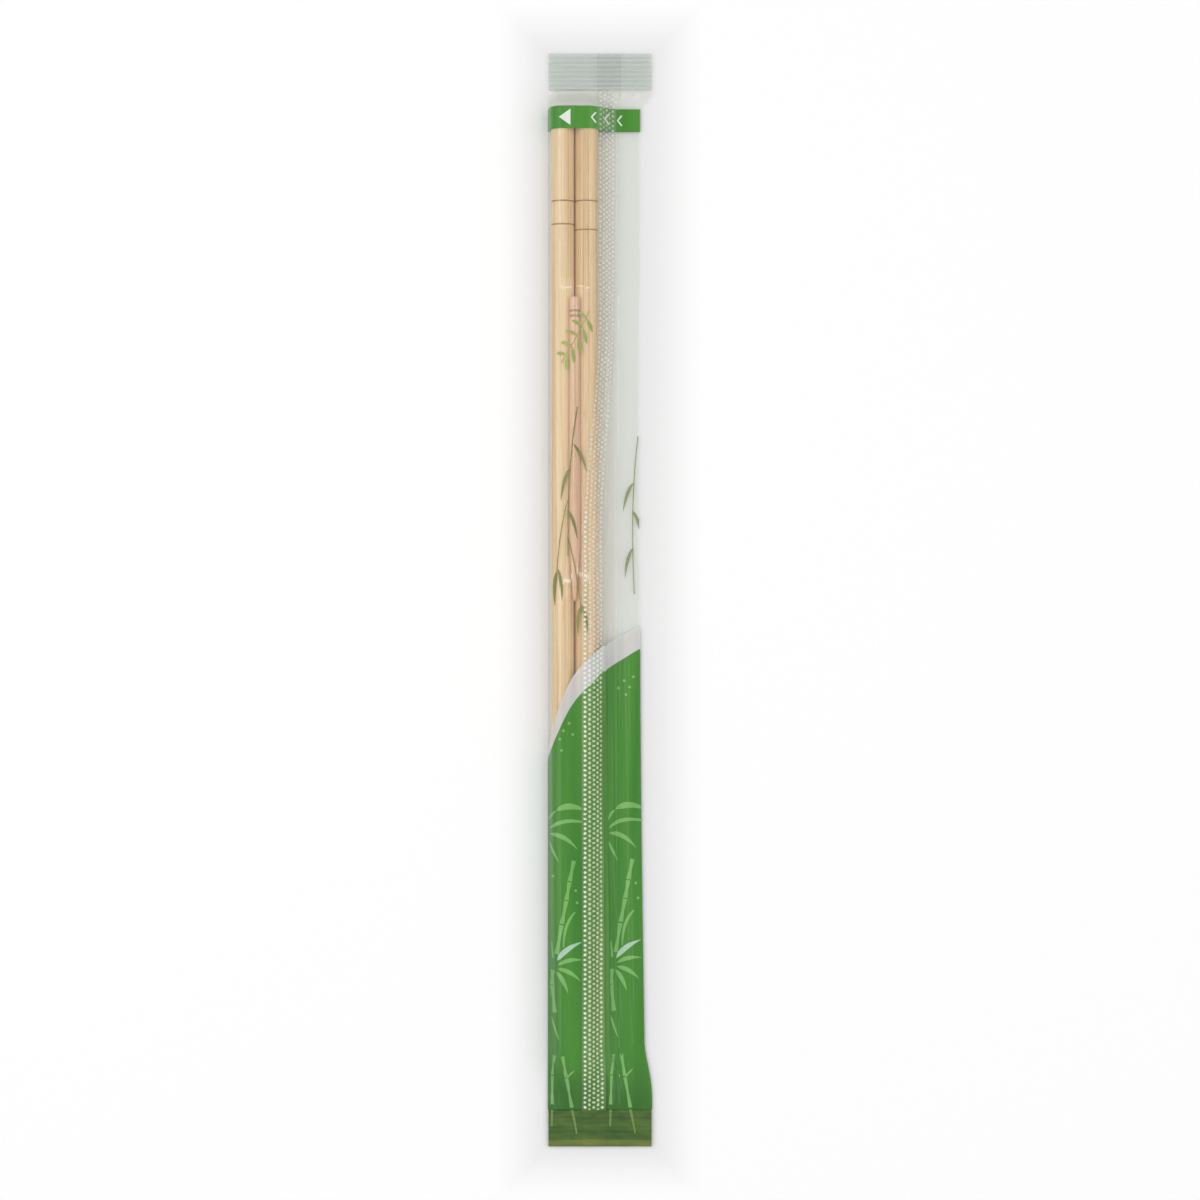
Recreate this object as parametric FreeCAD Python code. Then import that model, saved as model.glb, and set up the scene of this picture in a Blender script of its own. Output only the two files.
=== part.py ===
import FreeCAD, Part
import math
import os

# A pair of round bamboo chopsticks and a toothpick, sealed in a clear film sleeve.
# It lies on its back in millimetres: X across, Y along with the heads at +Y, Z up from the surface.

# Chopsticks
stick_length = 200.0
stick_diameter = 5.0
tip_diameter = 3.0
straight_length = 100.0
head_rounding = 1.0
tip_rounding = 1.0
stick_gap = 0.3
ring_from_head = 19.8
ring_spacing_left = 5.0
ring_spacing_right = 6.2
ring_width = 0.4
ring_depth = 0.12

# Toothpick
pick_length = 65.0
pick_diameter = 2.2
pick_from_head = 40.4
pick_barrel_length = 2.8
pick_groove_width = 0.5
pick_groove_depth = 0.3
pick_bead_width = 0.6
pick_end_rounding = 0.4
pick_point_length = 12.0
pick_point_diameter = 0.5
pick_point_curve = 1.3

# Rounded ends: how much of the width stays flat
end_flat_share = 0.4

# Film sleeve
film_thickness = 0.06
layer_gap = 0.18
left_margin = 0.65
wing_width = 4.6
hinge_radius = 1.2
slope_spare = 1.3
head_room = 4.5
tip_room = 15.0
ridge_rise = 0.06
ridge_rise_at_seals = 0.012
end_bulge = 0.15
end_cap = 0.4
drape_ahead_of_pick = 4.0

# Fin seal, folded to the right on the upper face
fin_width = 5.3
fin_gap = 0.12
fin_root_depth = 0.045
fin_from_fold_at_heads = 10.5
fin_from_fold_at_tips = 7.2
fin_lean_start = 44.0
fin_lean_end = 92.0

# End seals
seal_length = 8.0
rib_pitch = 1.0
rib_height = 0.25
seal_inset = 0.1
seal_bite = 0.2

# Clearances
seat = 0.05
pick_seat = 0.03
skim = 0.01
close_enough = 0.00001

# How many straight steps stand for each curved stretch
end_steps = 3
head_steps = 4
tip_steps = 5
taper_steps = 3
point_steps = 3
fin_steps = 8
lean_steps = 8
least_step = 0.4

# Worked out from the sizes above
stick_radius = stick_diameter / 2
tip_radius = tip_diameter / 2
pick_radius = pick_diameter / 2
taper_length = stick_length - tip_rounding - straight_length
double_film = 2 * film_thickness

sleeve_length = 2 * seal_length + head_room + stick_length + tip_room
y_head = sleeve_length / 2 - seal_length - head_room
y_upper_seal = y_head + head_room
y_lower_seal = y_head - stick_length - tip_room
y_pick = y_head - pick_from_head

fold_radius = film_thickness + layer_gap / 2
fold_z = fold_radius - skim
wing_z = fold_z + fold_radius
stick_z = film_thickness + seat + stick_radius
axis_spacing = stick_diameter + stick_gap
slope_run = fin_width + slope_spare
pick_reach = stick_radius + pick_radius + pick_seat
pick_z = stick_z + math.sqrt(pick_reach**2 - (axis_spacing / 2) ** 2)

# Places across the sleeve, counted from its left fold
from_fold_left_stick = left_margin + stick_radius
from_fold_right_stick = from_fold_left_stick + axis_spacing
from_fold_pick = from_fold_left_stick + axis_spacing / 2
from_fold_hinge = from_fold_right_stick + slope_run


def blend(a, b, share):
    return a + (b - a) * share


def eased(share):
    """A smooth step from 0 to 1."""
    u = min(max(share, 0.0), 1.0)
    return u * u * (3 - 2 * u)


def line(a, b):
    return Part.LineSegment(a, b).toShape()


def rounded_end(radius, length):
    """(radius, distance) pairs from the flat middle of a rounded end out to its rim."""
    flat = radius * end_flat_share
    pairs = [(0, 0)]
    for i in range(end_steps + 1):
        angle = math.pi / 2 * i / end_steps
        pairs.append((flat + (radius - flat) * math.sin(angle), length * (1 - math.cos(angle))))
    return pairs


def groove(radius, depth, start, width):
    """(radius, distance) pairs of a groove round a turned piece."""
    return [(radius, start), (radius - depth, start + width / 2), (radius, start + width)]


def turned(profile, x, y, z):
    """A solid of revolution of this profile about its own long axis, with its head at (x, y, z).

    Its sides are curves with two poles, since a cone would be faceted along its length as well."""
    points = [FreeCAD.Vector(radius, -distance, 0) for radius, distance in profile]
    edges = []
    for a, b in zip(points, points[1:] + points[:1]):
        if a.y == b.y or a.x == b.x == 0:
            edges.append(line(a, b))
        else:
            side = Part.BezierCurve()
            side.setPoles([a, b])
            edges.append(side.toShape())
    solid = Part.Face(Part.Wire(edges)).revolve(FreeCAD.Vector(), FreeCAD.Vector(0, 1, 0), 360)
    solid.translate(FreeCAD.Vector(x, y, z))
    return solid


def chopstick(x, ring_spacing):
    profile = rounded_end(stick_radius, head_rounding)
    for middle in (ring_from_head, ring_from_head + ring_spacing):
        profile += groove(stick_radius, ring_depth, middle - ring_width / 2, ring_width)
    for i in range(taper_steps):
        distance = straight_length + taper_length * i / taper_steps
        profile.append((stick_radius_at(distance), distance))
    for radius, distance in reversed(rounded_end(tip_radius, tip_rounding)):
        profile.append((radius, stick_length - distance))
    return turned(profile, x, y_head, stick_z)


def stick_radius_at(distance):
    """The stick's radius at this distance from its head: straight, then curving in to the tip."""
    share = min(max((distance - straight_length) / taper_length, 0.0), 1.0)
    return stick_radius - (stick_radius - tip_radius) * share**2


def toothpick(x):
    profile = rounded_end(pick_radius, pick_end_rounding)
    profile += groove(pick_radius, pick_groove_depth, pick_barrel_length, pick_groove_width)
    second_groove = pick_barrel_length + pick_groove_width + pick_bead_width
    profile += groove(pick_radius, pick_groove_depth, second_groove, pick_groove_width)
    for i in range(point_steps + 1):
        distance = pick_length - pick_point_length * (1 - i / point_steps)
        profile.append((pick_radius_at(distance), distance))
    profile.append((0, pick_length))
    return turned(profile, x, y_pick, pick_z)


def pick_radius_at(distance):
    """The toothpick's radius at this distance from its head, without its grooves."""
    share = min(max((distance - (pick_length - pick_point_length)) / pick_point_length, 0.0), 1.0)
    return blend(pick_radius, pick_point_diameter / 2, share**pick_point_curve)


class Roller:
    """A round thing that the film bends over: turn is its radius, negative where it bends upwards."""

    def __init__(self, x, z, turn):
        self.x = x
        self.z = z
        self.turn = turn

    def point(self, heading, extra=0.0):
        """Where film that leaves with this heading lies, extra further out."""
        reach = self.turn + extra
        return (self.x - reach * math.sin(heading), self.z + reach * math.cos(heading))


def heading_between(a, b):
    """The heading of film drawn tight from roller a to roller b."""
    dx = b.x - a.x
    dz = b.z - a.z
    return math.atan2(dz, dx) + math.asin((b.turn - a.turn) / math.hypot(dx, dz))


def fullness(y):
    """1 over the chopsticks, falling to 0 at the end seals."""
    above = (y - y_head) / head_room
    below = (y_head - stick_length - y) / tip_room
    return 1 - eased(max(above, below, 0.0))


def crown(y):
    """Height and radius of the film over each chopstick."""
    full_turn = stick_radius_at(y_head - y) + seat + film_thickness
    full_rise = stick_z + full_turn - wing_z
    run = from_fold_left_stick - fold_radius
    rise = blend(end_bulge, full_rise, fullness(y))
    widest = (run**2 + full_rise**2) / (2 * full_rise)
    turn = full_turn / widest * (run**2 + rise**2) / (2 * rise)
    return wing_z + rise, turn


def ridge(y):
    """Height and radius of the film between the chopsticks, lifted where the toothpick lies."""
    height, turn = crown(y)
    height += blend(ridge_rise_at_seals, ridge_rise, fullness(y))
    distance = y_pick - y
    if distance < 0:
        cover = 1 + distance / drape_ahead_of_pick
    else:
        cover = 1 - (distance - pick_length) / drape_ahead_of_pick
    cover = min(max(cover, 0.0), 1.0)
    reach = pick_radius_at(distance) + seat + film_thickness
    lifted = blend(height, max(height, pick_z + reach), cover)
    point_share = (distance - (pick_length - pick_point_length)) / pick_point_length
    on_barrel = cover * (1 - min(max(point_share, 0.0), 1.0))
    return lifted, blend(turn, pick_radius + seat + film_thickness, on_barrel)


def upper_rollers(y):
    """What the upper layer passes over at y, from the left fold to the hinge where it lies flat."""
    height, turn = crown(y)
    ridge_height, ridge_turn = ridge(y)
    return [
        Roller(fold_radius, fold_z, fold_radius),
        Roller(from_fold_left_stick, height - turn, turn),
        Roller(from_fold_pick, ridge_height - ridge_turn, ridge_turn),
        Roller(from_fold_right_stick, height - turn, turn),
        Roller(from_fold_hinge, wing_z + hinge_radius, -hinge_radius),
    ]


def path_length(rollers):
    """Length of film from the left fold to the last roller."""
    headings = [heading_between(a, b) for a, b in zip(rollers, rollers[1:])]
    total = 0.0
    for a, b in zip(rollers, rollers[1:]):
        total += math.sqrt((b.x - a.x) ** 2 + (b.z - a.z) ** 2 - (b.turn - a.turn) ** 2)
    arrivals = [math.pi] + headings
    departures = headings + [0.0]
    for roller, arrive, depart in zip(rollers, arrivals, departures):
        total += roller.turn * (arrive - depart)
    return total


def right_fold(y, half_girth):
    """The roller in the right fold, placed so that the film's girth is the same all along."""
    used = path_length(upper_rollers(y)) + math.pi * fold_radius
    flat_run = (2 * half_girth - used + from_fold_hinge + fold_radius) / 2
    return Roller(flat_run, fold_z, fold_radius)


def half_girth_over_sticks():
    """Half the way round the sleeve, from the width of its flat wing over the chopsticks."""
    used = path_length(upper_rollers(y_head)) + math.pi * fold_radius
    bottom = from_fold_hinge + wing_width - fold_radius
    return (used + wing_width + bottom) / 2


half_girth = half_girth_over_sticks()
flat_width = right_fold(y_upper_seal, half_girth).x + fold_radius
x_left = -flat_width / 2
x_left_stick = x_left + from_fold_left_stick
x_right_stick = x_left + from_fold_right_stick
x_pick = x_left + from_fold_pick


def fin_from_fold(y):
    """How far from the left fold the fin seal stands: it leans to the left below the chopsticks' heads."""
    lean = (y_head - y - fin_lean_start) / (fin_lean_end - fin_lean_start)
    return blend(fin_from_fold_at_heads, fin_from_fold_at_tips, eased(lean))


class UpperLayer:
    """The outer face of the film's upper layer at y, by its length from the left fold."""

    def __init__(self, y):
        rollers = upper_rollers(y) + [right_fold(y, half_girth)]
        headings = [heading_between(a, b) for a, b in zip(rollers, rollers[1:])]
        self.bends = []
        reached = 0.0
        for i in range(1, len(rollers) - 1):
            before, roller = rollers[i - 1 : i + 1]
            arrive, depart = headings[i - 1 : i + 1]
            apart = math.hypot(roller.x - before.x, roller.z - before.z)
            bend_start = reached + math.sqrt(apart**2 - (roller.turn - before.turn) ** 2)
            reached = bend_start + roller.turn * (arrive - depart)
            self.bends.append((bend_start, reached, roller, arrive, depart))

    def point(self, length, extra):
        """The place at this length along the layer, extra further out."""
        for bend_start, bend_end, roller, arrive, depart in self.bends:
            if length < bend_end:
                break
        heading = arrive - (min(max(length, bend_start), bend_end) - bend_start) / roller.turn
        x, z = roller.point(heading, extra)
        along = min(length - bend_start, 0) + max(length - bend_end, 0)
        return (x + along * math.cos(heading), z + along * math.sin(heading))

    def length_to(self, x):
        """The length along the layer to this place across the sleeve."""
        low, high = 0.0, 2 * half_girth
        while high - low > close_enough:
            middle = (low + high) / 2
            if self.point(middle, 0)[0] < x:
                low = middle
            else:
                high = middle
        return low


class Section:
    """One closed outline across the sleeve at y, made of lines and arcs in a fixed order."""

    def __init__(self, y):
        self.y = y
        self.edges = []
        self.here = None

    def place(self, flat):
        return FreeCAD.Vector(x_left + flat[0], self.y, flat[1])

    def line_to(self, flat):
        self.edges.append(line(self.place(self.here), self.place(flat)))
        self.here = flat

    def arc_on(self, roller, arrive, depart):
        middle = roller.point((arrive + depart) / 2)
        end = roller.point(depart)
        points = [self.place(p) for p in (self.here, middle, end)]
        self.edges.append(Part.Arc(*points).toShape())
        self.here = end

    def wire(self):
        return Part.Wire(self.edges)


def section(y, inner):
    """The sleeve's outline at y, moved inwards by inner."""
    rollers = upper_rollers(y) + [right_fold(y, half_girth)]
    for roller in rollers:
        roller.turn -= inner
    headings = [heading_between(a, b) for a, b in zip(rollers, rollers[1:])]
    arrivals = [math.pi] + headings
    departures = headings + [-math.pi]
    outline = Section(y)
    start = rollers[0].point(math.pi)
    outline.here = start
    for index, roller in enumerate(rollers):
        if index:
            outline.line_to(roller.point(arrivals[index]))
        outline.arc_on(roller, arrivals[index], departures[index])
    outline.line_to(start)
    return outline.wire()


def fin_section(y):
    """The fin seal's outline at y: out of the film's thickness, then over to the right along the film."""
    layer = UpperLayer(y)
    root = layer.length_to(fin_from_fold(y))
    lengths = [root + fin_width * i / fin_steps for i in range(fin_steps + 1)]
    flat = [layer.point(length, fin_gap + double_film) for length in lengths]
    lengths[0] = root + double_film
    flat += [layer.point(length, fin_gap) for length in reversed(lengths)]
    flat += [layer.point(length, -fin_root_depth) for length in (root + double_film, root)]
    corners = [FreeCAD.Vector(x_left + x, y, z) for x, z in flat]
    return Part.makePolygon(corners + corners[:1])


def stations(y_low, y_high):
    """Where the sleeve's outline is drawn, from one end seal to the other."""
    found = [y_head, y_head - stick_length, y_head - straight_length]
    found += [blend(y_head, y_upper_seal, i / head_steps) for i in range(1, head_steps)]
    found += [blend(y_head - stick_length, y_lower_seal, i / tip_steps) for i in range(1, tip_steps)]
    found += [y_head - straight_length - taper_length * i / taper_steps for i in range(1, taper_steps)]
    pick_tip = y_pick - pick_length
    found += [y_pick + drape_ahead_of_pick, y_pick, pick_tip + pick_point_length]
    found += [pick_tip + pick_point_length / 2, pick_tip, pick_tip - drape_ahead_of_pick]
    kept = [y_low]
    for y in sorted(found):
        if kept[-1] + least_step < y < y_high - least_step:
            kept.append(y)
    return kept + [y_high]


def tube(y_low, y_high, inner):
    wires = [section(y, inner) for y in stations(y_low, y_high)]
    return Part.makeLoft(wires, True, True)


def fin_seal():
    """The fin seal along the sleeve, with more outlines where it leans."""
    places = stations(y_lower_seal, y_upper_seal)
    for i in range(lean_steps + 1):
        y = y_head - blend(fin_lean_start, fin_lean_end, i / lean_steps)
        if all(abs(y - other) > least_step for other in places):
            places.append(y)
    return Part.makeLoft([fin_section(y) for y in sorted(places)], True, True)


def band(points, x_low, x_high):
    """A band of this profile along the sleeve, from x_low to x_high."""
    corners = [FreeCAD.Vector(x_low, y, z) for y, z in points]
    face = Part.Face(Part.makePolygon(corners + corners[:1]))
    return face.extrude(FreeCAD.Vector(x_high - x_low, 0, 0))


def end_seal(y_start, outwards):
    """A crimped end seal: ribs across the sleeve, and the fin seal pressed flat on top of them."""
    half_ribs = int(round(2 * seal_length / rib_pitch))
    pitch = seal_length / half_ribs
    lower = [(-seal_bite, film_thickness / 2), (0.0, film_thickness / 2)]
    lower += [(i * pitch, rib_height * (i % 2)) for i in range(1, half_ribs + 1)]

    def lifted(points, height):
        return [(y_start + outwards * d, z + height) for d, z in points]

    seal = band(
        lifted(lower, 0) + lifted(reversed(lower), double_film),
        x_left + seal_inset,
        -x_left - seal_inset,
    )
    root_x = x_left + fin_from_fold(y_start)
    fin_top = crown(y_start)[0] + fin_gap + double_film + film_thickness
    block = [(seal_bite, fin_top), (-seal_bite, fin_top)]
    pressed_top = lifted(reversed(lower[2:]), 2 * double_film)
    fin = band(
        lifted(lower, film_thickness) + pressed_top + lifted(block, 0),
        root_x - film_thickness,
        root_x + fin_width + film_thickness,
    )
    return seal.fuse(fin)


def film_sleeve():
    outside = tube(y_lower_seal, y_upper_seal, 0.0)
    cavity = tube(y_lower_seal + end_cap, y_upper_seal - end_cap, film_thickness)
    film = outside.cut(cavity)
    film = film.fuse([fin_seal(), end_seal(y_upper_seal, 1), end_seal(y_lower_seal, -1)])
    surface = Part.makeBox(2 * flat_width, 2 * sleeve_length, 1, FreeCAD.Vector(-flat_width, -sleeve_length, -1))
    return film.cut(surface)


def save(name, shape):
    """Writes the one solid of this shape."""
    (solid,) = shape.Solids
    solid.exportStep(os.path.join("parts", name + ".step"))
    print(name, solid.isValid(), round(solid.Volume, 1), solid.BoundBox)


os.makedirs("parts", exist_ok=True)
save("film_sleeve", film_sleeve())
save("chopstick_left", chopstick(x_left_stick, ring_spacing_left))
save("chopstick_right", chopstick(x_right_stick, ring_spacing_right))
save("toothpick", toothpick(x_pick))
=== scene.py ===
import math
import random

import bmesh
import bpy
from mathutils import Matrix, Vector


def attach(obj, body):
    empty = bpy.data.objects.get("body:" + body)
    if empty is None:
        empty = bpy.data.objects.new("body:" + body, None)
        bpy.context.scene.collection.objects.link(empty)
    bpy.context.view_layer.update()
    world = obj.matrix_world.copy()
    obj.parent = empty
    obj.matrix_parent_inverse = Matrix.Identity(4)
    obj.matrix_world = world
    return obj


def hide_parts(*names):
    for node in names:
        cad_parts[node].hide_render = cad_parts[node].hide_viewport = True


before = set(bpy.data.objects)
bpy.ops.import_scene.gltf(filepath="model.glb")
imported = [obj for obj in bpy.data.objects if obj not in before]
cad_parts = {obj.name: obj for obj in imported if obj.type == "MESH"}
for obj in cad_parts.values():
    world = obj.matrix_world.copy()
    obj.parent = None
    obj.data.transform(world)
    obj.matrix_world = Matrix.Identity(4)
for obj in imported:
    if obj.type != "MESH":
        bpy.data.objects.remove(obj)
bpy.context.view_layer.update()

MM = 0.001
random.seed(7)

# Sizes, in millimetres, the same as in the source. Lengths along a piece count from its head.
STICK_LENGTH, STICK_R, TIP_R, STRAIGHT, STICK_END = 200.0, 2.5, 1.5, 100.0, 1.0
STICK_GAP = 0.3
RING_FROM_HEAD, RING_SPACING_LEFT, RING_SPACING_RIGHT = 19.8, 5.0, 6.2
PICK_LENGTH, PICK_R, PICK_TIP_R, PICK_POINT, PICK_END = 65.0, 1.1, 0.25, 12.0, 0.4
PICK_FROM_HEAD, PICK_POINT_CURVE = 40.4, 1.3
END_FLAT_SHARE = 0.4
FILM, LAYER_GAP = 0.06, 0.18
LEFT_MARGIN, WING, HINGE_R, SLOPE_SPARE = 0.65, 4.6, 1.2, 1.3
HEAD_ROOM, TIP_ROOM = 4.5, 15.0
RIDGE_RISE, RIDGE_RISE_AT_SEALS, END_BULGE, DRAPE_AHEAD = 0.06, 0.012, 0.15, 4.0
FIN_WIDTH, FIN_GAP = 5.3, 0.12
FIN_FROM_FOLD_AT_HEADS, FIN_FROM_FOLD_AT_TIPS, FIN_LEAN_START, FIN_LEAN_RUN = 10.5, 7.2, 44.0, 48.0
SEAL, SEAL_INSET, RIB_HEIGHT = 8.0, 0.1, 0.25
SEAT, PICK_SEAT, SKIM = 0.05, 0.03, 0.01

# Worked out from them: x counts from the left fold, and y and z are the frame's
TAPER = STICK_LENGTH - STICK_END - STRAIGHT
FOLD_R = FILM + LAYER_GAP / 2
FOLD_Z = FOLD_R - SKIM
WING_Z = FOLD_Z + FOLD_R
STICK_Z = FILM + SEAT + STICK_R
AXIS_SPACING = 2 * STICK_R + STICK_GAP
LEFT_X = LEFT_MARGIN + STICK_R
RIGHT_X = LEFT_X + AXIS_SPACING
PICK_X = LEFT_X + AXIS_SPACING / 2
HINGE_X = RIGHT_X + FIN_WIDTH + SLOPE_SPARE
PICK_Z = STICK_Z + math.sqrt((STICK_R + PICK_R + PICK_SEAT) ** 2 - (AXIS_SPACING / 2) ** 2)
SLEEVE_LENGTH = 2 * SEAL + HEAD_ROOM + STICK_LENGTH + TIP_ROOM
Y_HEAD = SLEEVE_LENGTH / 2 - SEAL - HEAD_ROOM
Y_UP = Y_HEAD + HEAD_ROOM
Y_LOW = Y_HEAD - STICK_LENGTH - TIP_ROOM
Y_PICK = Y_HEAD - PICK_FROM_HEAD

# Tight film draws the sticks together a little, and the toothpick rides up on them
DRAWN_IN, PICK_RIDES_UP = 0.08, 0.05


def blend(a, b, share):
    return a + (b - a) * share


def clamp(v):
    return min(max(v, 0.0), 1.0)


def eased(v):
    v = clamp(v)
    return v * v * (3 - 2 * v)


def stick_radius(distance):
    return STICK_R - (STICK_R - TIP_R) * clamp((distance - STRAIGHT) / TAPER) ** 2


def along_point(distance):
    """0 on the toothpick's barrel, and from 0 to 1 along its point."""
    return clamp((distance - (PICK_LENGTH - PICK_POINT)) / PICK_POINT)


def pick_radius(distance):
    return blend(PICK_R, PICK_TIP_R, along_point(distance) ** PICK_POINT_CURVE)


# The film's way over the pieces: a belt laid over rollers of (x, z, radius)
def fullness(y):
    """1 along the sticks, down to 0 at both seals."""
    above = (y - Y_HEAD) / HEAD_ROOM
    below = (Y_HEAD - STICK_LENGTH - y) / TIP_ROOM
    return 1 - eased(max(above, below, 0.0))


def crown(y):
    """(height, radius) of the film over a stick."""
    turn_full = stick_radius(Y_HEAD - y) + SEAT + FILM
    rise_full = STICK_Z + turn_full - WING_Z
    run = LEFT_X - FOLD_R
    rise = blend(END_BULGE, rise_full, fullness(y))
    widest = (run**2 + rise_full**2) / (2 * rise_full)
    return WING_Z + rise, turn_full / widest * (run**2 + rise**2) / (2 * rise)


def ridge(y):
    """(height, radius) of the film over the toothpick, and over the valley where there is none."""
    height, turn = crown(y)
    height += blend(RIDGE_RISE_AT_SEALS, RIDGE_RISE, fullness(y))
    distance = Y_PICK - y
    past = -distance if distance < 0 else distance - PICK_LENGTH
    cover = clamp(1 - past / DRAPE_AHEAD)
    reach = pick_radius(distance) + SEAT + FILM
    lifted = blend(height, max(height, PICK_Z + reach), cover)
    on_barrel = cover * (1 - along_point(distance))
    return lifted, blend(turn, PICK_R + SEAT + FILM, on_barrel)


def upper_rollers(y):
    height, turn = crown(y)
    ridge_height, ridge_turn = ridge(y)
    return [
        (FOLD_R, FOLD_Z, FOLD_R),
        (LEFT_X, height - turn, turn),
        (PICK_X, ridge_height - ridge_turn, ridge_turn),
        (RIGHT_X, height - turn, turn),
        (HINGE_X, WING_Z + HINGE_R, -HINGE_R),
    ]


def heading_between(a, b):
    dx, dz = b[0] - a[0], b[1] - a[1]
    return math.atan2(dz, dx) + math.asin((b[2] - a[2]) / math.hypot(dx, dz))


def path_length(rollers):
    heads = [heading_between(a, b) for a, b in zip(rollers, rollers[1:])]
    total = sum(
        math.sqrt((b[0] - a[0]) ** 2 + (b[1] - a[1]) ** 2 - (b[2] - a[2]) ** 2)
        for a, b in zip(rollers, rollers[1:])
    )
    for roller, arrive, depart in zip(rollers, [math.pi] + heads, heads + [0.0]):
        total += roller[2] * (arrive - depart)
    return total


def used_length(y):
    return path_length(upper_rollers(y)) + math.pi * FOLD_R


HALF_GIRTH = (used_length(Y_HEAD) + WING + HINGE_X + WING - FOLD_R) / 2


def right_fold_x(y):
    """The girth stays the same, so the right fold moves in where the film rises."""
    return (2 * HALF_GIRTH - used_length(y) + HINGE_X + FOLD_R) / 2


def fin_from_fold(y):
    """How far from the left fold the fin seal stands: it leans to the left below the heads."""
    share = eased((Y_HEAD - y - FIN_LEAN_START) / FIN_LEAN_RUN)
    return blend(FIN_FROM_FOLD_AT_HEADS, FIN_FROM_FOLD_AT_TIPS, share)


X_LEFT = -(right_fold_x(Y_UP) + FOLD_R) / 2


class Path:
    """The film's upper layer at y: arcs and straight runs, with u the length from the left fold.
    A run is (kind, u, u, start, end, heading), and an arc (kind, u, u, roller, arrive, depart)."""

    def __init__(self, y):
        rollers = upper_rollers(y) + [(right_fold_x(y), FOLD_Z, FOLD_R)]
        heads = [heading_between(a, b) for a, b in zip(rollers, rollers[1:])]
        arrive = [math.pi / 2] + heads
        depart = heads + [-math.pi / 2]
        self.parts = []
        u = 0.0
        for i, roller in enumerate(rollers):
            if i:
                start = self.on(rollers[i - 1], depart[i - 1])
                end = self.on(roller, arrive[i])
                length = math.hypot(end[0] - start[0], end[1] - start[1])
                self.parts.append(("run", u, u + length, start, end, arrive[i]))
                u += length
            length = abs(roller[2] * (arrive[i] - depart[i]))
            self.parts.append(("arc", u, u + length, roller, arrive[i], depart[i]))
            u += length
        self.width = u

    @staticmethod
    def on(roller, heading):
        x, z, radius = roller
        return x - radius * math.sin(heading), z + radius * math.cos(heading)

    def at(self, u):
        """(x from the left fold, z, heading) at the length u."""
        for part in self.parts:
            if u <= part[2] or part is self.parts[-1]:
                share = (u - part[1]) / max(part[2] - part[1], 1e-9)
                if part[0] == "run":
                    a, b = part[3], part[4]
                    return blend(a[0], b[0], share), blend(a[1], b[1], share), part[5]
                heading = blend(part[4], part[5], clamp(share))
                x, z = self.on(part[3], heading)
                return x, z, heading

    def place_at(self, x):
        """The length u at x from the left fold, as seen from above."""
        for part in self.parts:
            if part[0] == "run":
                (xa, _), (xb, _) = part[3], part[4]
                share = (x - xa) / max(xb - xa, 1e-9)
            else:
                roller, arrive, depart = part[3], part[4], part[5]
                sine = min(max((roller[0] - x) / roller[2], -1.0), 1.0)
                share = (arrive - math.asin(sine)) / (arrive - depart) if arrive != depart else 1.0
            if share <= 1.0 + 1e-9:
                return blend(part[1], part[2], clamp(share))
        return self.width


PATHS = {}


def path(y):
    key = round(y, 3)
    if key not in PATHS:
        PATHS[key] = Path(key)
    return PATHS[key]


# Long soft creases of the slack film:
# (u at the heads, u at the tips, height, half width, from y, to y)
CREASES = [
    (15.6, 17.4, 0.22, 0.28, Y_UP, 20.0),
    (18.2, 16.2, 0.26, 0.32, 70.0, Y_LOW),
    (20.6, 20.9, 0.18, 0.25, 95.0, -60.0),
    (22.4, 22.0, 0.22, 0.30, 10.0, Y_LOW),
    (1.3, 1.0, 0.08, 0.22, Y_UP, -20.0),
    (13.9, 14.6, 0.12, 0.22, 40.0, Y_LOW),
    (19.4, 18.8, 0.16, 0.22, -20.0, Y_LOW),
]
CREASE_SWAY, CREASE_SWAY_PITCH, CREASE_BEAT_PITCH, CREASE_FADE = 0.22, 17.0, 9.0, 14.0
# Short gathers where the film narrows to a seal: (u, height, half width)
GATHERS = [
    (random.uniform(1.0, 23.0), random.uniform(0.12, 0.34), random.uniform(0.25, 0.6))
    for _ in range(20)
]
# Where the gathers are highest, from the seal, and how far they reach either way
GATHER_UP, GATHER_UP_REACH = 1.5, 5.5
GATHER_LOW, GATHER_LOW_REACH = 5.0, 9.0
GATHER_LEAN = 0.03
# The film is tight at its folds and at the seals
TIGHT_FOLD, FOLD_FADE, SEAL_FADE = 0.3, 0.9, 1.2


def bell(distance, half):
    return math.exp(-((distance / half) ** 2))


def swell(u, y):
    """How far slack film stands off its tight path."""
    out = 0.0
    share = (Y_HEAD - y) / STICK_LENGTH
    for at_heads, at_tips, height, half, y_from, y_to in CREASES:
        sway = CREASE_SWAY * math.sin(y / CREASE_SWAY_PITCH + at_heads)
        centre = blend(at_heads, at_tips, share) + sway
        ends = eased((y_from - y) / CREASE_FADE) * eased((y - y_to) / CREASE_FADE)
        beat = 0.75 + 0.25 * math.sin(y / CREASE_BEAT_PITCH + at_tips)
        out += height * ends * beat * bell(u - centre, half)
    into_up = clamp(1 - abs(y - (Y_UP - GATHER_UP)) / GATHER_UP_REACH)
    into_low = clamp(1 - abs(y - (Y_LOW + GATHER_LOW)) / GATHER_LOW_REACH)
    for k, (centre, height, half) in enumerate(GATHERS):
        lean = GATHER_LEAN * math.sin(3.1 * k) * (y - Y_LOW)
        near = max(into_up, into_low) * (0.6 + 0.4 * math.sin(5.0 * k + y * 0.13))
        out += height * near * bell(u - centre - lean, half)
    from_fold = min(u, path(y).width - u)
    tight = eased((from_fold - TIGHT_FOLD) / FOLD_FADE)
    return max(out, 0.0) * tight * eased((Y_UP - y) / SEAL_FADE) * eased((y - Y_LOW) / SEAL_FADE)


def film_point(u, y, lift=0.0):
    x, z, heading = path(y).at(u)
    reach = lift + swell(u, y)
    return Vector((X_LEFT + x - reach * math.sin(heading), y, z + reach * math.cos(heading))) * MM


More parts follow.
